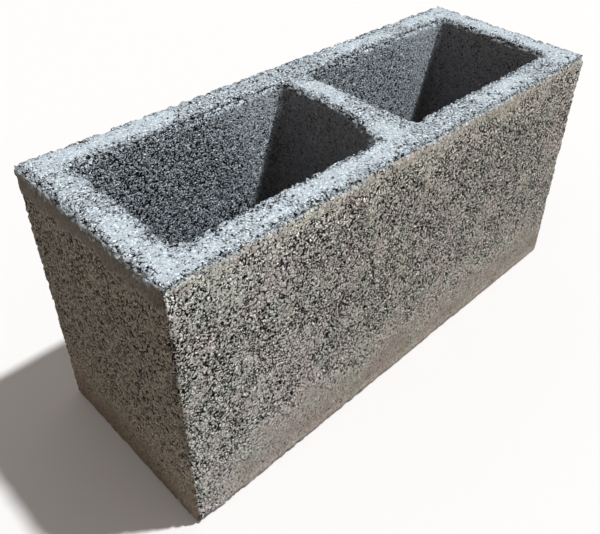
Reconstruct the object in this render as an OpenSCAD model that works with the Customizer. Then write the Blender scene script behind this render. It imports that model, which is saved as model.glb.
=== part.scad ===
// Hollow concrete block with two open cells, standing on its bed face.
// The frame has X along the length, Y across the width and Z up the height.
// Its origin is the middle of the lower bed face.

/* [Block] */
// Length, from one end face to the other
block_length = 400; // [300:5:500]
// Width, across the two face shells
block_width = 150; // [120:5:250]
// Height, from bed face to bed face
block_height = 200; // [90:5:250]

/* [Walls] */
// Thickness of each long face shell at the upper bed face
face_shell = 25; // [18:1:40]
// Thickness of each end wall at the upper bed face
end_wall = 25; // [18:1:40]
// Thickness of each web between cells at the upper bed face
cross_web = 25; // [18:1:40]

/* [Cells] */
// Number of cells along the length
cell_count = 2; // [1:1:3]
// How much each cell wall leans inwards from the top of the block to its bottom
core_draft = 3; // [0:0.5:5]
// Radius of the upright corners inside each cell
cell_corner_radius = 7; // [4:1:20]

/* [Web foot] */
// How far the thickened foot of the first web, at the front face shell, reaches into the first cell
foot_reach = 11; // [2:1:15]
// Length of web that the thickened foot takes up, from the front face shell backwards
foot_length = 38; // [20:1:60]

/* [Edges] */
// Radius of the upright outside corners
outer_corner_radius = 2; // [1:0.5:6]

/* [Hidden] */
// Space left between two fillets that share one short cell wall
fillet_gap = 1;
// How far each core runs past the bed faces, so that the cell is cut right through
overrun = 5;
// Size of one cell at the upper bed face
cell_length = (block_length - 2 * end_wall - (cell_count - 1) * cross_web) / cell_count;
cell_width = block_width - 2 * face_shell;
// Distance from the middle of one cell to the middle of the next
cell_pitch = cell_length + cross_web;
// Shorter side of a core at its narrow lower end
narrow_side = min(cell_length, cell_width) - 2 * core_draft * (1 + overrun / block_height);
// Radius of the corners inside each cell, which the narrow side of a small cell limits
corner_radius = min(cell_corner_radius, (narrow_side - fillet_gap) / 2);
// Thickness of the slices that a core is stretched between
slice = 0.01;
$fn = 32;

// Flat rectangle, centred, whose corners are true arcs
module rounded_rectangle(length, width, radius) {
    square([length - 2 * radius, width], center = true);
    square([length, width - 2 * radius], center = true);
    for (x = [-1, 1], y = [-1, 1])
        translate([x * (length / 2 - radius), y * (width / 2 - radius)])
            circle(r = radius);
}

// Outside of the block, with nothing taken out of it
module outer_body() {
    linear_extrude(block_height)
        rounded_rectangle(block_length, block_width, outer_corner_radius);
}

// Flat triangle of concrete that thickens the foot of a web, with its square corner at the origin
module web_foot() {
    polygon([[0, 0], [0, foot_length], [-foot_reach, 0]]);
}

// Horizontal slice through a core at the height z, narrower the lower it lies
module core_slice(z, beside_foot) {
    inset = core_draft * (1 - z / block_height);
    length = cell_length - 2 * inset;
    width = cell_width - 2 * inset;
    translate([0, 0, z])
        linear_extrude(slice)
            difference() {
                rounded_rectangle(length, width, corner_radius);
                if (beside_foot)
                    translate([length / 2, -width / 2])
                        web_foot();
            }
}

// Tapered core that leaves one cell behind
module core(beside_foot) {
    hull() {
        core_slice(-overrun, beside_foot);
        core_slice(block_height + overrun, beside_foot);
    }
}

// One casting: two face shells, two end walls and the webs between the cells
module block() {
    color("darkgray")
        difference() {
            outer_body();
            for (i = [0 : cell_count - 1])
                translate([(i - (cell_count - 1) / 2) * cell_pitch, 0, 0])
                    core(beside_foot = cell_count > 1 && i == 0);
        }
}

block();
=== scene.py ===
"""Hollow concrete block with two open cells, standing on its lower bed face on a pale floor.

Everything is in metres. X runs along the block, Y across it and Z up, with the origin in the
middle of the lower bed face.
"""

import math

import bmesh
import bpy
from mathutils import Matrix, Vector


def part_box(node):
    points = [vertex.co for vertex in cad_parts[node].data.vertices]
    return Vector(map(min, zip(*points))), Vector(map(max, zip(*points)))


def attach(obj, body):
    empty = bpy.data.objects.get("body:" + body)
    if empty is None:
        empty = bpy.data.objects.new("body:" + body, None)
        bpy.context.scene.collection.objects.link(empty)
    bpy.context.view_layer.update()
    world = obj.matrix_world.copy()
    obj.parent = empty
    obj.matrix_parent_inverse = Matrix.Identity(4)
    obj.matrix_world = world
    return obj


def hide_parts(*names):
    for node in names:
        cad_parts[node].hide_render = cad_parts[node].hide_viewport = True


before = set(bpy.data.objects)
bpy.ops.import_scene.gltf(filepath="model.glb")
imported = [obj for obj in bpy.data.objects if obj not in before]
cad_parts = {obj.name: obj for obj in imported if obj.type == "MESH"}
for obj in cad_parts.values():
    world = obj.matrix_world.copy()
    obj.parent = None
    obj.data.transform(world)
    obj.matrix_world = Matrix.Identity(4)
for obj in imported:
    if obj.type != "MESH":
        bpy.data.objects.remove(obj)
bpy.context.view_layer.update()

MM = 0.001

# The block's own sizes. Length, width and height come from the bounds of the block part.
LOW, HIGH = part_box("block")
LENGTH = HIGH.x - LOW.x
WIDTH = HIGH.y - LOW.y
HEIGHT = HIGH.z - LOW.z
FACE_SHELL = 25 * MM
END_WALL = 25 * MM
CROSS_WEB = 25 * MM
CORE_DRAFT = 3 * MM
CELL_CORNER = 7 * MM
# The web is thicker at its foot on the front face shell, in the cell towards -X
FOOT_REACH = 11 * MM
FOOT_LENGTH = 38 * MM
CELL_LENGTH = (LENGTH - 2 * END_WALL - CROSS_WEB) / 2
CELL_WIDTH = WIDTH - 2 * FACE_SHELL
CELL_MIDDLE = (CELL_LENGTH + CROSS_WEB) / 2

FOOT_TIP = Vector((-CROSS_WEB / 2 - FOOT_REACH, -CELL_WIDTH / 2, 0))
FOOT_OUT = Vector((FOOT_LENGTH, -FOOT_REACH, 0)).normalized()
EDGE_ROUNDING = 1.4 * MM

# How finely the casting is meshed before and after its surface is worked
VOXEL = 1.25 * MM
MOST_TRIANGLES = 196000
# The mesh attribute that keeps where each point was before the surface was worked
FIRST_PLACE = "first_place"

# How far across or how far apart the lumps of each pattern are, from broad to fine
BROAD_PATCHES = 40 * MM
TINTS = 22 * MM
PATCHES = 14 * MM
PIT_SPACING = 13 * MM
BITES = 6 * MM
RAGGED_BITS = 4 * MM
COARSE_GRAIN = 1.8 * MM
CAVITIES = 1.7 * MM
FINE_GRAIN = 1.15 * MM
GRIT = 0.7 * MM
SPECKLE = 0.6 * MM

# How deep each part of the relief goes over the whole range of its pattern, in millimetres
SWELL_DEPTH = 0.35
COARSE_DEPTH = 0.8
MISSING_GRAIN_DEPTH = 0.7
LUMP_DEPTH = 1.0
BITE_DEPTH = 2.8
NICK_DEPTH = 1.8
WORN_CORNER_DEPTH = 3.0
PIT_DEPTH = 1.8
CAVITY_DEPTH = 1.2
FINE_DEPTH = 0.6
FINE_HOLLOW_DEPTH = 0.4
COARSE_GAP_DEPTH = 0.5
GRIT_DEPTH = 0.30
# The whole surface sinks at least this far, in millimetres
SHALLOWEST = 0.2
# The shares of the fine relief that the mesh takes and of the coarse relief that the bump takes
FINE_IN_MESH = 0.5
COARSE_IN_BUMP = 0.5

# How open the surface is, from 0 for a closed skin of paste to 1 for bare grains with gaps
SKIN_OPEN = 0.18
SKIN_EDGE_OPEN = 0.76
FOOT_OPEN = 0.34
HEAD_OPEN = 0.45
END_OPEN = 0.85
END_HEAD_OPEN = 0.15
WEB_OPEN = 0.40
# The share of the places for a blow hole that have one
PIT_SHARE = 0.26

# How deep below a face the surface still belongs to it
FACE_DEPTH = 3 * MM
# How far the edges of the closer bands wander
SWAY = 20 * MM
FOOT_SWAY = 60 * MM
# How far in from an edge, and from the corner that is worn round, the casting crumbles
WORN_WIDTH = 5.5 * MM
WORN_CORNER_WIDTH = 16 * MM
# How much wider the painted shadow in the +X corner of each cell gets with depth, at the slope of
# the key light's cast shadow, and how much narrower the closer part of its walls gets
PAINTED_SHADOW_LEAN = 0.38
CLOSE_LEAN = 0.35

# How light the darkest and the lightest grains are beside the rest
DARKEST_GRAIN = 0.60
LIGHTEST_GRAIN = 1.50
# Colours of the concrete
SIDE_GREY = (0.555, 0.54, 0.515, 1)
SIDE_BUFF = (0.49, 0.463, 0.418, 1)
# Painted shade: the ends are painted far darker than the sides, as the -X end stands in shade
SHADED_END_BROWN = (0.27, 0.232, 0.179, 1)
SHADED_END_HEAD = (0.186, 0.175, 0.141, 1)
FIRST_CELL = (0.50, 0.55, 0.60, 1)
SECOND_CELL = (0.45, 0.495, 0.54, 1)
# Painted shade: the end and web walls of the cells, as those facing -X stand in the key light's
# shade
SHADED_WEB_SIDE = (0.18, 0.18, 0.19, 1)
BED_PASTE = (0.405, 0.443, 0.48, 1)
# Colours that the ones above are multiplied by
CLOSE_PASTE = (0.47, 0.43, 0.41, 1)
PINKER = (1.035, 0.985, 0.99, 1)
GREENER = (0.985, 1.015, 0.97, 1)
UNCHANGED = (1, 1, 1, 1)


class Wiring:
    """Adds nodes to a shader tree or a Geometry Nodes tree and joins them up."""

    def __init__(self, tree):
        self.tree = tree

    def add(self, kind, **settings):
        node = self.tree.nodes.new(kind)
        for name, value in settings.items():
            setattr(node, name, value)
        return node

    def put(self, socket, value):
        """Links a socket to another, or sets it where the value is a plain number or vector."""
        if isinstance(value, bpy.types.NodeSocket):
            self.tree.links.new(value, socket)
        elif value is not None:
            socket.default_value = value

    def math(self, operation, *values):
        node = self.add("ShaderNodeMath", operation=operation)
        for socket, value in zip(node.inputs, values):
            self.put(socket, value)
        return node.outputs[0]

    def plus(self, a, b):
        return self.math("ADD", a, b)

    def minus(self, a, b):
        return self.math("SUBTRACT", a, b)

    def times(self, a, b):
        return self.math("MULTIPLY", a, b)

    def least(self, a, b):
        return self.math("MINIMUM", a, b)

    def most(self, a, b):
        return self.math("MAXIMUM", a, b)

    def vector(self, operation, *values):
        node = self.add("ShaderNodeVectorMath", operation=operation)
        for socket, value in zip(node.inputs, values):
            self.put(socket, value)
        return node.outputs[1 if operation in ("DOT_PRODUCT", "LENGTH") else 0]

    def scale(self, vector, factor):
        node = self.add("ShaderNodeVectorMath", operation="SCALE")
        self.put(node.inputs[0], vector)
        self.put(node.inputs["Scale"], factor)
        return node.outputs[0]

    def ramp(self, value, low, high, to_low=0.0, to_high=1.0, smooth=True):
        """A value taken from the span low to high onto the span to_low to to_high."""
        kind = "SMOOTHSTEP" if smooth else "LINEAR"
        node = self.add("ShaderNodeMapRange", interpolation_type=kind, clamp=True)
        for name, number in (("Value", value), ("From Min", low), ("From Max", high),
                             ("To Min", to_low), ("To Max", to_high)):
            self.put(node.inputs[name], number)
        return node.outputs[0]

    def split(self, vector):
        node = self.add("ShaderNodeSeparateXYZ")
        self.put(node.inputs[0], vector)
        return node.outputs[0], node.outputs[1], node.outputs[2]

    def join(self, x, y, z):
        node = self.add("ShaderNodeCombineXYZ")
        for socket, value in zip(node.inputs, (x, y, z)):
            self.put(socket, value)
        return node.outputs[0]

    def noise(self, place, size, detail=2.0, roughness=0.5, output="Fac"):
        """Soft noise whose lumps are about size across, in the units of the place given."""
        node = self.add("ShaderNodeTexNoise")
        self.put(node.inputs["Vector"], place)
        self.put(node.inputs["Scale"], 1.0 / size)
        self.put(node.inputs["Detail"], detail)
        self.put(node.inputs["Roughness"], roughness)
        return node.outputs[output]

    def wander(self, place, size, detail, reach):
        """The place given, moved about by soft noise so that a pattern on it isn't regular."""
        drift = self.noise(place, size, detail, output="Color")
        drift = self.vector("SUBTRACT", drift, (0.5, 0.5, 0.5))
        return self.vector("ADD", place, self.scale(drift, reach))

    def cells(self, place, dimensions="3D"):
        """Voronoi cells one unit across: distance from the middle, and three random numbers."""
        node = self.add("ShaderNodeTexVoronoi", feature="F1", voronoi_dimensions=dimensions)
        self.put(node.inputs["Vector"], place)
        self.put(node.inputs["Scale"], 1.0)
        return node.outputs["Distance"], self.split(node.outputs["Color"])

    def mix(self, factor, a, b):
        """Colour a turning into colour b."""
        node = self.add("ShaderNodeMix", data_type="RGBA", blend_type="MIX")
        self.put(node.inputs[0], factor)
        self.put(node.inputs[6], a)
        self.put(node.inputs[7], b)
        return node.outputs[2]

    def lerp(self, factor, a, b):
        """Number a turning into number b."""
        node = self.add("ShaderNodeMix", data_type="FLOAT")
        self.put(node.inputs[0], factor)
        self.put(node.inputs[2], a)
        self.put(node.inputs[3], b)
        return node.outputs[0]


def in_cell(place, spare=0.0):
    """Whether a place in plan is inside one of the two cells at the upper bed face."""
    along = abs(abs(place.x) - CELL_MIDDLE) < CELL_LENGTH / 2 + spare
    return along and abs(place.y) < CELL_WIDTH / 2 + spare


def in_web_foot(place):
    """Whether a place in plan is in the corner that the thickened foot of the web fills."""
    inwards = (place - FOOT_TIP).dot(FOOT_OUT) > 0
    return inwards and place.x < -CROSS_WEB / 2 and place.y > -CELL_WIDTH / 2


def cut_plan(bm, place, normal, faces=None):
    """Cuts the flat plan, or only the faces given, along a line through a place."""
    faces = faces or bm.faces[:]
    edges = {edge for face in faces for edge in face.edges}
    verts = {vertex for face in faces for vertex in face.verts}
    bmesh.ops.bisect_plane(bm, geom=list(verts) + list(edges) + faces, dist=1e-6,
                           plane_co=place, plane_no=normal)


def round_edges(bm, edges, radius, segments):
    bmesh.ops.bevel(bm, geom=edges, offset=radius, affect="EDGES", segments=segments,
                    profile=0.5, material=-1)


def round_cell_corners(bm):
    corners = []
    for edge in bm.edges:
        a, b = (vertex.co for vertex in edge.verts)
        upright = abs(a.z - b.z) > HEIGHT / 2
        square = edge.calc_face_angle(0) > math.radians(80)
        if upright and square and in_cell(a, MM) and in_cell(b, MM):
            corners.append(edge)
    round_edges(bm, corners, CELL_CORNER, 6)


def lean_cell_walls(bm):
    """Moves the lower rim of each cell inwards, as the tapered core leaves it."""
    for vertex in bm.verts:
        if vertex.co.z > HEIGHT / 2 or not in_cell(vertex.co, MM):
            continue
        side = math.copysign(1, vertex.co.x)
        middle = Vector((side * CELL_MIDDLE, 0, vertex.co.z))
        reach = vertex.co - middle
        reach.x *= 1 - 2 * CORE_DRAFT / CELL_LENGTH
        reach.y *= 1 - 2 * CORE_DRAFT / CELL_WIDTH
        vertex.co = middle + reach


def sharp_edges(bm):
    return [edge for edge in bm.edges if edge.calc_face_angle(0) > math.radians(40)]


def block_shape():
    """The casting with its walls, leaning cells and worn edges, before its surface is worked."""
    bm = bmesh.new()
    bmesh.ops.create_grid(bm, x_segments=1, y_segments=1, size=0.5,
                          matrix=Matrix.Diagonal((LENGTH, WIDTH, 1, 1)))
    for side in (-1, 1):
        for x in (CELL_MIDDLE - CELL_LENGTH / 2, CELL_MIDDLE + CELL_LENGTH / 2):
            cut_plan(bm, (side * x, 0, 0), (1, 0, 0))
        cut_plan(bm, (0, side * CELL_WIDTH / 2, 0), (0, 1, 0))
    first_cell = [face for face in bm.faces
                  if in_cell(face.calc_center_median()) and face.calc_center_median().x < 0]
    cut_plan(bm, FOOT_TIP, FOOT_OUT, first_cell)
    open_faces = []
    for face in bm.faces:
        middle = face.calc_center_median()
        if in_cell(middle) and not in_web_foot(middle):
            open_faces.append(face)
    bmesh.ops.delete(bm, geom=open_faces, context="FACES")
    solid = bmesh.ops.extrude_face_region(bm, geom=bm.faces[:])
    raised = [item for item in solid["geom"] if isinstance(item, bmesh.types.BMVert)]
    bmesh.ops.translate(bm, verts=raised, vec=(0, 0, HEIGHT))
    round_cell_corners(bm)
    lean_cell_walls(bm)
    round_edges(bm, sharp_edges(bm), EDGE_ROUNDING, 3)
    bmesh.ops.recalc_face_normals(bm, faces=bm.faces[:])
    mesh = bpy.data.meshes.new("block_casting")
    bm.to_mesh(mesh)
    bm.free()
    return mesh


def new_group(name, kind, inputs, outputs):
    """A node group that takes a place and named numbers and gives named numbers."""
    group = bpy.data.node_groups.new(name, kind)
    group.interface.new_socket("Place", in_out="INPUT", socket_type="NodeSocketVector")
    for socket in inputs:
        group.interface.new_socket(socket, in_out="INPUT", socket_type="NodeSocketFloat")
    for socket in outputs:
        group.interface.new_socket(socket, in_out="OUTPUT", socket_type="NodeSocketFloat")
    wiring = Wiring(group)
    return wiring, wiring.add("NodeGroupInput").outputs, wiring.add("NodeGroupOutput").inputs


def faces_group(kind):
    """Where a place on the casting lies.

    Top, End and Cell are how far it is from the upper bed face, the nearer end and the nearer
    cell wall. Edge and Arris are how far it is from the nearest edge and the nearest upright
    outer edge. Over is how far it is past the outer edge of the upper bed face, towards the
    middle. Web is 1 on the end and web walls of a cell and 0 on its long walls.
    """
    outputs = ("Top", "End", "Cell", "Web", "Edge", "Arris", "Over")
    w, into, out = new_group("block faces", kind, (), outputs)
    x, y, z = w.split(into["Place"])
    ax, ay = w.math("ABSOLUTE", x), w.math("ABSOLUTE", y)
    to_end = w.minus(LENGTH / 2, ax)
    to_long = w.minus(WIDTH / 2, ay)
    to_top = w.minus(HEIGHT, z)
    to_bed = w.least(to_top, z)
    lean = w.times(to_top, CORE_DRAFT / HEIGHT)
    along = w.math("ABSOLUTE", w.minus(ax, CELL_MIDDLE))
    # How far a place is past the middles of the rounded cell corners, along and across
    past_x = w.plus(w.minus(along, CELL_LENGTH / 2 - CELL_CORNER), lean)
    past_y = w.plus(w.minus(ay, CELL_WIDTH / 2 - CELL_CORNER), lean)
    corner = w.vector("LENGTH", w.join(w.most(past_x, 0.0), w.most(past_y, 0.0), 0.0))
    inside = w.least(w.most(past_x, past_y), 0.0)
    to_cell = w.minus(w.plus(corner, inside), CELL_CORNER)
    # The web's foot fills one corner, so there the cell starts at the foot's slanting side
    by_foot = w.times(w.math("LESS_THAN", x, -CROSS_WEB / 4), w.math("LESS_THAN", y, -6 * MM))
    from_tip = w.vector("SUBTRACT", w.join(x, y, 0.0), FOOT_TIP)
    slant = w.vector("DOT_PRODUCT", from_tip, FOOT_OUT)
    slant = w.plus(slant, w.times(lean, FOOT_OUT.x - FOOT_OUT.y))
    to_cell = w.most(to_cell, w.lerp(by_foot, -LENGTH, slant))
    to_side = w.least(to_end, to_long)
    arris = w.most(to_end, to_long)
    bed_edge = w.most(to_side, to_bed)
    rim = w.most(to_cell, to_bed)
    w.put(out["Top"], to_top)
    w.put(out["End"], to_end)
    w.put(out["Cell"], to_cell)
    w.put(out["Web"], w.ramp(w.minus(past_x, past_y), -2 * MM, 2 * MM))
    w.put(out["Edge"], w.least(arris, w.least(bed_edge, rim)))
    w.put(out["Arris"], arris)
    w.put(out["Over"], w.minus(to_side, to_top))
    return w.tree


def aggregate_group(kind):
    """Rounded grains of aggregate with gaps between them where the paste didn't fill, and
    hollows where a grain is missing. The colour paints shade into the gaps and hollows."""
    w, into, out = new_group("aggregate", kind, ("Grain", "Gaps", "Missing"),
                             ("Height", "Gap", "Hollow", "Tone"))
    grain = into["Grain"]
    in_grains = w.vector("DIVIDE", into["Place"], w.join(grain, grain, grain))
    distance, draw = w.cells(w.wander(in_grains, 0.8, 1.0, 0.9))
    # Each grain has its own size, and what lies farther out than that is a gap
    reach = w.minus(w.lerp(draw[0], 0.92, 1.12), into["Gaps"])
    gap = w.ramp(distance, w.minus(reach, 0.03), w.plus(reach, 0.05))
    missing = w.math("GREATER_THAN", draw[1], w.minus(1.0, into["Missing"]))
    hollow = w.times(missing, w.ramp(distance, 0.62, 0.42))
    out_share = w.math("DIVIDE", distance, reach)
    dome = w.minus(1.0, w.times(out_share, out_share))
    dome = w.times(w.most(dome, 0.0), w.lerp(draw[2], 0.75, 1.0))
    w.put(out["Height"], w.times(dome, w.minus(1.0, hollow)))
    w.put(out["Gap"], gap)
    w.put(out["Hollow"], hollow)
    w.put(out["Tone"], draw[2])
    return w.tree


def pits_group(kind):
    """Blow holes scattered in a smooth skin: 1 in the middle of a hole and 0 between them."""
    w, into, out = new_group("pits", kind, ("Spacing", "Share"), ("Pit",))
    spacing = into["Spacing"]
    in_spacings = w.vector("DIVIDE", into["Place"], w.join(spacing, spacing, spacing))
    distance, draw = w.cells(w.wander(in_spacings, 0.4, 2.0, 0.35), "2D")
    chosen = w.math("LESS_THAN", draw[0], into["Share"])
    reach = w.lerp(draw[1], 0.07, 0.16)
    pit = w.ramp(distance, reach, w.times(reach, 0.45))
    w.put(out["Pit"], w.times(chosen, pit))
    return w.tree


class Surface:
    """The worked surface of the casting, laid out the same way in its shape and in its colour."""

    def __init__(self, w, place, kind):
        self.w = w
        self.node_kind = kind.replace("NodeTree", "NodeGroup")
        self.groups = {"faces": faces_group(kind), "aggregate": aggregate_group(kind),
                       "pits": pits_group(kind)}
        self.place = place
        self.x, self.y, self.z = w.split(place)
        self.broad = w.noise(place, BROAD_PATCHES, detail=2.0)
        self.patch = w.noise(place, PATCHES, detail=3.0)
        self.ragged = w.noise(place, RAGGED_BITS, detail=3.0, roughness=0.6)
        self.sway = w.times(w.minus(self.patch, 0.5), SWAY)
        self.find_faces()
        self.find_weak_edges()
        side = self.side_openness()
        cell = self.cell_openness()
        top = self.top_openness()
        self.open = w.lerp(self.on_top, w.lerp(self.in_cell, side, cell), top)
        self.skin = w.times(self.on_top, w.minus(1.0, self.open))
        self.place_aggregate()
        self.place_holes()

    def use(self, name, **values):
        node = self.w.add(self.node_kind, node_tree=self.groups[name])
        self.w.put(node.inputs["Place"], self.place)
        for socket, value in values.items():
            self.w.put(node.inputs[socket], value)
        return node.outputs

    def find_faces(self):
        """How near a place is to each face and edge, and how far it belongs to each face."""
        w = self.w
        faces = self.use("faces")
        self.to_top, self.to_cell = faces["Top"], faces["Cell"]
        self.edge, self.arris, self.over = faces["Edge"], faces["Arris"], faces["Over"]
        self.on_top = w.ramp(self.to_top, FACE_DEPTH, 0.6 * MM)
        self.on_end = w.ramp(faces["End"], FACE_DEPTH, 1.0 * MM)
        self.in_cell = w.ramp(self.to_cell, FACE_DEPTH, 1.0 * MM)
        # Painted shadow: in its +X corner, and farther from there lower down, the back wall is
        # painted as dark as the web, where the web's cast shadow from the key light falls
        self.along = w.minus(self.x, w.times(w.math("SIGN", self.x), CELL_MIDDLE))
        painted_shadow = w.plus(self.along, w.times(self.to_top, PAINTED_SHADOW_LEAN))
        painted_shadow = w.ramp(painted_shadow, CELL_LENGTH / 2, CELL_LENGTH / 2 + 9 * MM)
        painted_shadow = w.times(painted_shadow, w.ramp(self.y, 0.0, 20 * MM))
        self.on_web_and_shadow = w.times(self.in_cell, w.most(faces["Web"], painted_shadow))

    def find_weak_edges(self):
        """How weak each edge is, and how far a place is from the corner that is worn round."""
        w = self.w
        first_arris = w.times(w.ramp(self.x, 0.0, -150 * MM), w.ramp(self.y, 0.0, -60 * MM))
        rim = w.ramp(self.to_cell, 9 * MM, 5 * MM, 1.0, 1.4)
        top_edge = w.ramp(self.to_top, 9 * MM, 4 * MM)
        # The cell mouths crumble most, then the other edges at the top, then the -X -Y arris
        self.weak = w.lerp(top_edge, w.lerp(first_arris, 0.35, 0.9), rim)
        elsewhere = w.times(w.minus(1.0, first_arris), LENGTH)
        self.corner = w.plus(w.most(self.arris, self.to_top), elsewhere)

    def top_openness(self):
        """The upper bed face is open near its edges and in bare patches, and has a paste skin
        elsewhere. Its +X end has hardly any bare patches."""
        w = self.w
        near_edge = w.ramp(w.plus(self.edge, self.sway), 9 * MM, 3 * MM)
        bare = w.ramp(self.broad, 0.40, 0.56)
        bare = w.times(bare, w.ramp(self.x, 180 * MM, 160 * MM, 0.2, 0.85))
        return w.lerp(w.most(near_edge, bare), SKIN_OPEN, SKIN_EDGE_OPEN)

    def side_openness(self):
        """Side faces are closer in a wavy band at the foot and in a narrow one at the head."""
        w = self.w
        wave = w.plus(w.times(w.minus(self.broad, 0.5), FOOT_SWAY), self.sway)
        foot = w.ramp(w.plus(self.z, wave), 5 * MM, 70 * MM, FOOT_OPEN, 1.0)
        # Beside the -X arris only the end has the band at the foot
        by_arris = w.lerp(self.on_end, 1.0, foot)
        foot = w.lerp(w.ramp(self.x, -198 * MM, -165 * MM), by_arris, foot)
        below_top = w.plus(self.to_top, self.sway)
        head = w.ramp(below_top, 4 * MM, 15 * MM, HEAD_OPEN, 1.0)
        # The band at the head is strongest in the middle of the long faces and on the ends
        middle = w.times(w.ramp(self.x, -80 * MM, 0.0, 0.6, 1.0),
                         w.ramp(self.x, 150 * MM, 70 * MM, 0.6, 1.0))
        head = w.lerp(w.most(middle, self.on_end), 1.0, head)
        # The ends are closest of all under the upper bed face
        self.close_head = w.times(w.ramp(below_top, 8 * MM, 22 * MM, 1.0, 0.0), self.on_end)
        head = w.lerp(self.close_head, head, END_HEAD_OPEN)
        side = w.times(foot, head)
        side = w.times(side, w.ramp(self.patch, 0.35, 0.54, 0.74, 1.0))
        return w.times(side, w.lerp(self.on_end, 1.0, END_OPEN))

    def cell_openness(self):
        """Cell walls are closer in the +X cell, towards the +X end of each, and on the web."""
        w = self.w
        along = w.minus(self.along, w.times(self.to_top, CLOSE_LEAN))
        cell = w.minus(w.ramp(self.x, 0.0, 60 * MM, 1.0, 0.85),
                       w.ramp(along, 0.0, 60 * MM, 0.0, 0.35))
        return w.lerp(self.on_web_and_shadow, cell, WEB_OPEN)

    def place_aggregate(self):
        """Two sizes of aggregate, with wider gaps and more missing grains where it is open."""
        w = self.w
        self.coarse = self.use("aggregate", Grain=COARSE_GRAIN,
                               Gaps=w.times(self.open, w.lerp(self.in_cell, 0.355, 0.30)),
                               Missing=w.lerp(self.open, 0.0, 0.05))
        self.fine = self.use("aggregate", Grain=FINE_GRAIN,
                             Gaps=w.lerp(self.open, 0.10, 0.45),
                             Missing=w.lerp(self.open, 0.01, 0.08))

    def place_holes(self):
        """Cavities that the paste left between grains, and blow holes in the upper bed face."""
        w = self.w
        cavity = w.noise(self.place, CAVITIES, detail=2.0, roughness=0.6)
        brink = w.minus(w.lerp(self.open, 0.20, 0.35), w.times(self.in_cell, 0.08))
        self.cavity = w.ramp(cavity, brink, w.minus(brink, 0.05))
        in_plan = w.join(self.x, self.y, 0.0)
        pits = self.use("pits", Place=in_plan, Spacing=PIT_SPACING, Share=PIT_SHARE)
        self.pits = w.times(self.on_top, pits["Pit"])

    def crumbled_edges(self):
        """Edges crumble away in bites and nicks, as far as each is weak, and one corner is round."""
        w = self.w
        worn = w.times(w.ramp(self.edge, WORN_WIDTH, 0.0), self.weak)
        bites = w.ramp(w.noise(self.place, BITES, detail=2.0), 0.53, 0.60)
        nicks = w.ramp(self.ragged, 0.49, 0.60)
        crumble = w.plus(w.times(bites, -BITE_DEPTH), w.times(nicks, -NICK_DEPTH))
        corner = w.times(w.ramp(self.corner, WORN_CORNER_WIDTH, 0.0), -WORN_CORNER_DEPTH)
        return w.plus(w.times(worn, crumble), corner)

    def heights(self):
        """Millimetres above the true faces, nearly all below 0: what the mesh carries, and finer."""
        w = self.w
        grains = w.times(w.minus(self.coarse["Height"], 0.8), COARSE_DEPTH)
        missing = w.times(self.coarse["Hollow"], -MISSING_GRAIN_DEPTH)
        lumps = w.times(w.minus(self.ragged, 0.55), w.lerp(self.in_cell, LUMP_DEPTH, LUMP_DEPTH / 2))
        open_face = w.plus(w.plus(grains, missing), lumps)
        mesh_height = w.plus(w.times(open_face, self.open), self.crumbled_edges())
        for part in (w.times(w.minus(self.patch, 0.65), SWELL_DEPTH),
                     w.times(self.pits, -PIT_DEPTH), w.times(self.cavity, -CAVITY_DEPTH)):
            mesh_height = w.plus(mesh_height, part)
        fine = w.times(w.minus(self.fine["Height"], 1.0), FINE_DEPTH)
        fine = w.plus(fine, w.times(self.fine["Hollow"], -FINE_HOLLOW_DEPTH))
        fine = w.plus(fine, w.times(self.coarse["Gap"], -COARSE_GAP_DEPTH))
        return mesh_height, w.times(fine, w.lerp(self.open, 0.35, 1.0))

    def shade(self):
        """How light each grain is, and the painted shade that darkens gaps and hollows between
        grains.
        """
        w = self.w
        tone = w.lerp(self.fine["Tone"], DARKEST_GRAIN, LIGHTEST_GRAIN)
        # A few grains are much lighter than the rest
        tone = w.plus(tone, w.ramp(self.fine["Tone"], 0.93, 0.94, 0.0, 0.5))
        tone = w.times(tone, w.lerp(self.coarse["Tone"], 0.88, 1.12))
        tone = w.lerp(w.lerp(self.open, 0.35, 1.0), 1.02, tone)
        speckle = w.noise(self.place, SPECKLE, detail=1.0)
        tone = w.times(tone, w.ramp(speckle, 0.3, 0.7, 0.76, 1.26, smooth=False))
        # Painted shade: gaps, missing grains, cavities and blow holes are darkened as if shade fell
        # in them
        painted_gap_shade = self.coarse["Gap"]
        for hole, share in ((self.fine["Gap"], 1.0), (self.coarse["Hollow"], 0.75),
                            (self.fine["Hollow"], 0.85), (self.cavity, 0.92), (self.pits, 0.88)):
            painted_gap_shade = w.most(painted_gap_shade, w.times(hole, share))
        return w.times(tone, w.minus(1.0, painted_gap_shade))


def relief_tree():
    """Geometry Nodes that keep each point's first place and then sink the point inwards."""
    kind = "GeometryNodeTree"
    tree = bpy.data.node_groups.new("worked surface", kind)
    tree.interface.new_socket("Geometry", in_out="INPUT", socket_type="NodeSocketGeometry")
    tree.interface.new_socket("Geometry", in_out="OUTPUT", socket_type="NodeSocketGeometry")
    w = Wiring(tree)
    into, out = w.add("NodeGroupInput"), w.add("NodeGroupOutput")
    place = w.add("GeometryNodeInputPosition").outputs[0]
    keep = w.add("GeometryNodeStoreNamedAttribute", data_type="FLOAT_VECTOR", domain="POINT")
    keep.inputs["Name"].default_value = FIRST_PLACE
    w.put(keep.inputs["Geometry"], into.outputs[0])
    w.put(keep.inputs["Value"], place)
    surface = Surface(w, place, kind)
    mesh_height, fine_height = surface.heights()
    depth = w.plus(mesh_height, w.times(fine_height, FINE_IN_MESH))
    depth = w.times(w.least(depth, -SHALLOWEST), MM)
    normal = w.add("GeometryNodeInputNormal").outputs[0]
    move = w.add("GeometryNodeSetPosition")
    w.put(move.inputs["Geometry"], keep.outputs["Geometry"])
    w.put(move.inputs["Offset"], w.scale(normal, depth))
    w.put(out.inputs[0], move.outputs["Geometry"])
    return tree


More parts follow.
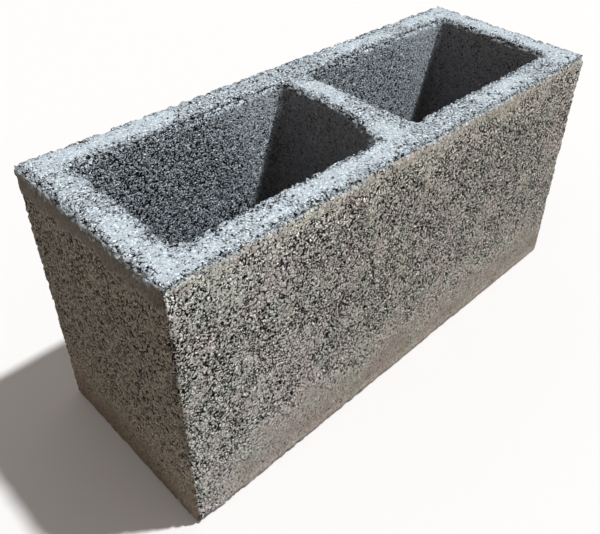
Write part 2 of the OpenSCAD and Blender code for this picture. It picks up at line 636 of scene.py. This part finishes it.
def paste_colour(w, surface):
    """Grey to buff sides, browner ends with painted shade, bluish cells and a pale upper bed face.
    """
    side = w.mix(w.ramp(surface.x, -200 * MM, -20 * MM), SIDE_GREY, SIDE_BUFF)
    # The sides are lighter at the head and at the very foot, and the ends towards the foot
    side = w.scale(side, w.ramp(surface.to_top, 40 * MM, 8 * MM, 1.0, 1.26))
    side = w.scale(side, w.ramp(surface.to_top, HEIGHT - 14 * MM, HEIGHT - 6 * MM, 1.0, 1.3))
    # Painted shade: the ends are darker than the sides
    shaded_end = w.mix(surface.close_head, SHADED_END_BROWN, SHADED_END_HEAD)
    shaded_end = w.scale(shaded_end, w.ramp(surface.to_top, 100 * MM, 180 * MM, 0.98, 1.3))
    cell = w.mix(w.ramp(surface.x, -20 * MM, 20 * MM), FIRST_CELL, SECOND_CELL)
    # Painted shade: the end and web walls, and the painted shadow in the +X corner, take the dark
    # colour
    cell = w.mix(surface.on_web_and_shadow, cell, SHADED_WEB_SIDE)
    colour = w.mix(surface.on_end, side, shaded_end)
    # Where the sides are closer the paste is darker and pinker
    closeness = w.mix(w.ramp(surface.open, 0.3, 1.0, smooth=False), CLOSE_PASTE, UNCHANGED)
    colour = w.vector("MULTIPLY", colour, closeness)
    tint = w.ramp(w.noise(surface.place, TINTS, detail=1.0), 0.35, 0.65)
    colour = w.vector("MULTIPLY", colour, w.mix(tint, PINKER, GREENER))
    colour = w.mix(surface.in_cell, colour, cell)
    # The pale paste of the upper bed face breaks off raggedly at the outer edges only
    ragged = w.times(w.minus(surface.ragged, 0.5), 24 * MM)
    pale = w.ramp(w.plus(surface.over, ragged), -5.5 * MM, 1.5 * MM)
    pale = w.lerp(surface.in_cell, pale, surface.on_top)
    return w.mix(pale, colour, BED_PASTE)


def concrete():
    """Dry-cast concrete: pale paste skin on the upper bed face, open warm grey grains elsewhere."""
    kind = "ShaderNodeTree"
    material = bpy.data.materials.new("dry_cast_concrete")
    material.use_nodes = True
    w = Wiring(material.node_tree)
    shader = material.node_tree.nodes["Principled BSDF"]
    first = w.add("ShaderNodeAttribute", attribute_type="GEOMETRY", attribute_name=FIRST_PLACE)
    surface = Surface(w, first.outputs["Vector"], kind)
    colour = w.scale(paste_colour(w, surface), surface.shade())
    w.put(shader.inputs["Base Color"], colour)
    w.put(shader.inputs["Roughness"], w.lerp(surface.skin, 0.95, 0.8))
    shader.inputs["Specular IOR Level"].default_value = 0.3
    mesh_height, fine_height = surface.heights()
    grit = w.times(w.noise(surface.place, GRIT, detail=2.0), GRIT_DEPTH)
    bump = w.add("ShaderNodeBump")
    bump.inputs["Strength"].default_value = 1.0
    bump.inputs["Distance"].default_value = MM
    coarse_height = w.times(mesh_height, COARSE_IN_BUMP)
    w.put(bump.inputs["Height"], w.plus(coarse_height, w.plus(fine_height, grit)))
    w.put(shader.inputs["Normal"], bump.outputs["Normal"])
    return material


def new_piece(name, mesh):
    piece = bpy.data.objects.new(name, mesh)
    bpy.context.scene.collection.objects.link(piece)
    return piece


def keep_inside(mesh):
    """Brings back the few points that thinning the mesh has put past the block's true faces."""
    for vertex in mesh.vertices:
        for axis in range(3):
            vertex.co[axis] = min(max(vertex.co[axis], LOW[axis]), HIGH[axis])


def settle(piece):
    """Makes what the modifiers do the piece's own mesh."""
    graph = bpy.context.evaluated_depsgraph_get()
    mesh = bpy.data.meshes.new_from_object(piece.evaluated_get(graph), depsgraph=graph)
    piece.modifiers.clear()
    old = piece.data
    piece.data = mesh
    bpy.data.meshes.remove(old)


def triangle_count(mesh):
    return sum(len(face.vertices) - 2 for face in mesh.polygons)


def make_block():
    piece = new_piece("hollow_block", block_shape())
    remesh = piece.modifiers.new("even_faces", "REMESH")
    remesh.mode = "VOXEL"
    remesh.voxel_size = VOXEL
    relief = piece.modifiers.new("worked_surface", "NODES")
    relief.node_group = relief_tree()
    settle(piece)
    thin = piece.modifiers.new("fewer_faces", "DECIMATE")
    thin.ratio = min(1.0, MOST_TRIANGLES / triangle_count(piece.data))
    settle(piece)
    keep_inside(piece.data)
    piece.data.shade_smooth()
    piece.data.materials.clear()
    piece.data.materials.append(concrete())
    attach(piece, "root")
    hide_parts("block")


def make_floor():
    bm = bmesh.new()
    bmesh.ops.create_grid(bm, x_segments=1, y_segments=1, size=6)
    mesh = bpy.data.meshes.new("floor")
    bm.to_mesh(mesh)
    bm.free()
    floor = new_piece("floor", mesh)
    material = bpy.data.materials.new("pale_floor")
    material.use_nodes = True
    shader = material.node_tree.nodes["Principled BSDF"]
    shader.inputs["Base Color"].default_value = (0.66, 0.63, 0.62, 1)
    shader.inputs["Roughness"].default_value = 0.9
    mesh.materials.append(material)


def make_camera():
    """A near, high three-quarter view of the long face and the left end."""
    azimuth = math.radians(-47.31)
    elevation = math.radians(36.81)
    roll = math.radians(2.35)
    camera = bpy.data.cameras.new("camera")
    camera.lens = 41.70
    camera.sensor_width = 36
    camera.shift_x = -0.0689
    camera.shift_y = -0.0788
    holder = bpy.data.objects.new("camera", camera)
    bpy.context.scene.collection.objects.link(holder)
    back = Vector((math.sin(azimuth) * math.cos(elevation),
                   -math.cos(azimuth) * math.cos(elevation), math.sin(elevation)))
    turn = (-back).to_track_quat("-Z", "Y").to_matrix().to_4x4()
    place = Matrix.Translation((-0.3160, -0.2929, 0.4201))
    holder.matrix_world = place @ turn @ Matrix.Rotation(roll, 4, "Z")
    bpy.context.scene.camera = holder


def make_lights():
    sun = bpy.data.lights.new("key", "SUN")
    sun.energy = 4.2
    sun.angle = math.radians(3)
    sun.color = (0.93, 0.98, 1.0)
    lamp = bpy.data.objects.new("key", sun)
    bpy.context.scene.collection.objects.link(lamp)
    travel = Vector((-0.38, 0.27, -1.0))
    lamp.rotation_euler = travel.to_track_quat("-Z", "Y").to_euler()
    world = bpy.data.worlds.new("studio")
    bpy.context.scene.world = world
    world.use_nodes = True
    background = world.node_tree.nodes["Background"]
    background.inputs["Color"].default_value = (1.0, 0.95, 0.90, 1)
    background.inputs["Strength"].default_value = 0.4


make_block()
make_floor()
make_camera()
make_lights()
bpy.context.scene.view_settings.view_transform = "Standard"
